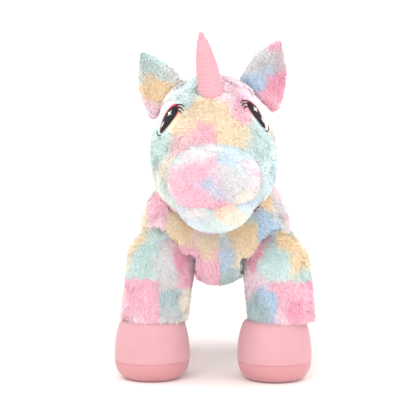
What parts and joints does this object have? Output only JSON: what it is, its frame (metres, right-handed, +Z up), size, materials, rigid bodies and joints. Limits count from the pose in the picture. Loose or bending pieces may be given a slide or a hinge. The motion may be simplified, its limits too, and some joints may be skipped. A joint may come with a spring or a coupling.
{
  "type": "plush unicorn",
  "caption": "Standing plush unicorn with patchwork fur covers, smooth stuffed hooves, a thread-bound horn, embroidered eyes, a mane and a tail.",
  "frame": {"origin": "on the floor, under the middle of the bounding box", "axes": "+Z up from the soles; the face looks along -Y; +X is the animal's own left side"},
  "size_m": [0.3314, 0.6066, 0.5438],
  "materials": {
    "body_fur": "matte",
    "muzzle_fur": "matte",
    "ear_fur": "matte",
    "mane_fur": "matte",
    "hoof_fabric": "satin",
    "sole_fabric": "satin",
    "horn_fabric": "satin",
    "horn_thread": "satin",
    "eye_thread": "satin",
    "lash_thread": "satin",
    "fibrefill": "matte"
  },
  "bodies": {
    "torso": {"belly_panel": "body_fur", "chest_panel_left": "body_fur", "chest_panel_right": "body_fur", "torso_side_left": "body_fur", "torso_side_right": "body_fur", "torso_stuffing": "fibrefill"},
    "neck": {"neck_cover": "body_fur", "neck_mane": "mane_fur", "neck_stuffing": "fibrefill"},
    "head": {"chin_panel_left": "muzzle_fur", "chin_panel_right": "muzzle_fur", "chin_stuffing": "fibrefill", "eye_left_embroidery": "eye_thread", "eye_left_lashes": "lash_thread", "eye_right_embroidery": "eye_thread", "eye_right_lashes": "lash_thread", "face_panel_left": "body_fur", "face_panel_right": "body_fur", "head_stuffing": "fibrefill", "muzzle_panel_left": "muzzle_fur", "muzzle_panel_right": "muzzle_fur", "muzzle_stuffing": "fibrefill", "poll_mane": "mane_fur"},
    "horn": {"horn_cover": "horn_fabric", "horn_stuffing": "fibrefill", "horn_thread": "horn_thread"},
    "left_ear": {"ear_left_back": "ear_fur", "ear_left_front": "ear_fur", "ear_left_padding": "fibrefill"},
    "right_ear": {"ear_right_back": "ear_fur", "ear_right_front": "ear_fur", "ear_right_padding": "fibrefill"},
    "front_left_leg": {"front_left_hoof_cover": "hoof_fabric", "front_left_hoof_sole": "sole_fabric", "front_left_hoof_stuffing": "fibrefill", "front_left_leg_inner_panel": "body_fur", "front_left_leg_outer_panel": "body_fur", "front_left_leg_stuffing": "fibrefill"},
    "front_right_leg": {"front_right_hoof_cover": "hoof_fabric", "front_right_hoof_sole": "sole_fabric", "front_right_hoof_stuffing": "fibrefill", "front_right_leg_inner_panel": "body_fur", "front_right_leg_outer_panel": "body_fur", "front_right_leg_stuffing": "fibrefill"},
    "hind_left_leg": {"hind_left_hoof_cover": "hoof_fabric", "hind_left_hoof_sole": "sole_fabric", "hind_left_hoof_stuffing": "fibrefill", "hind_left_leg_inner_panel": "body_fur", "hind_left_leg_outer_panel": "body_fur", "hind_left_leg_stuffing": "fibrefill"},
    "hind_right_leg": {"hind_right_hoof_cover": "hoof_fabric", "hind_right_hoof_sole": "sole_fabric", "hind_right_hoof_stuffing": "fibrefill", "hind_right_leg_inner_panel": "body_fur", "hind_right_leg_outer_panel": "body_fur", "hind_right_leg_stuffing": "fibrefill"},
    "tail": {"tail_cover": "mane_fur", "tail_stuffing": "fibrefill"}
  },
  "joints": [
    {"name": "neck_turn", "type": "hinge", "parent": "torso", "child": "neck", "pos_m": [-0.00156, -0.10419, 0.326], "axis": [0, 0, 1], "range_deg": [-15, 15], "stiffness_Nm_per_rad": 4},
    {"name": "head_nod", "type": "hinge", "parent": "neck", "child": "head", "pos_m": [-0.00156, -0.10419, 0.326], "axis": [1, 0, 0], "range_deg": [-8, 6], "stiffness_Nm_per_rad": 6},
    {"name": "horn_bend", "type": "hinge", "parent": "head", "child": "horn", "pos_m": [-0.00002, -0.21998, 0.45385], "axis": [1, 0, 0], "range_deg": [-12, 12], "stiffness_Nm_per_rad": 0.4},
    {"name": "left_ear_fold", "type": "hinge", "parent": "head", "child": "left_ear", "pos_m": [0.06637, -0.14139, 0.45631], "axis": [0.6959, 0.1544, -0.7013], "range_deg": [-12, 12], "stiffness_Nm_per_rad": 0.3},
    {"name": "right_ear_fold", "type": "hinge", "parent": "head", "child": "right_ear", "pos_m": [-0.07881, -0.15409, 0.44739], "axis": [0.6218, -0.0391, 0.7822], "range_deg": [-12, 12], "stiffness_Nm_per_rad": 0.3},
    {"name": "front_left_swing", "type": "hinge", "parent": "torso", "child": "front_left_leg", "pos_m": [0.10043, -0.11119, 0.182], "axis": [1, 0, 0], "range_deg": [-14, 14], "stiffness_Nm_per_rad": 6},
    {"name": "front_right_swing", "type": "hinge", "parent": "torso", "child": "front_right_leg", "pos_m": [-0.08557, -0.11119, 0.188], "axis": [1, 0, 0], "range_deg": [-14, 14], "stiffness_Nm_per_rad": 6},
    {"name": "hind_left_swing", "type": "hinge", "parent": "torso", "child": "hind_left_leg", "pos_m": [0.09044, 0.11881, 0.184], "axis": [1, 0, 0], "range_deg": [-14, 14], "stiffness_Nm_per_rad": 6},
    {"name": "hind_right_swing", "type": "hinge", "parent": "torso", "child": "hind_right_leg", "pos_m": [-0.09556, 0.11881, 0.184], "axis": [1, 0, 0], "range_deg": [-14, 14], "stiffness_Nm_per_rad": 6},
    {"name": "tail_swing", "type": "hinge", "parent": "torso", "child": "tail", "pos_m": [-0.00156, 0.24381, 0.284], "axis": [1, 0, 0], "range_deg": [-3, 25], "stiffness_Nm_per_rad": 0.4}
  ]
}
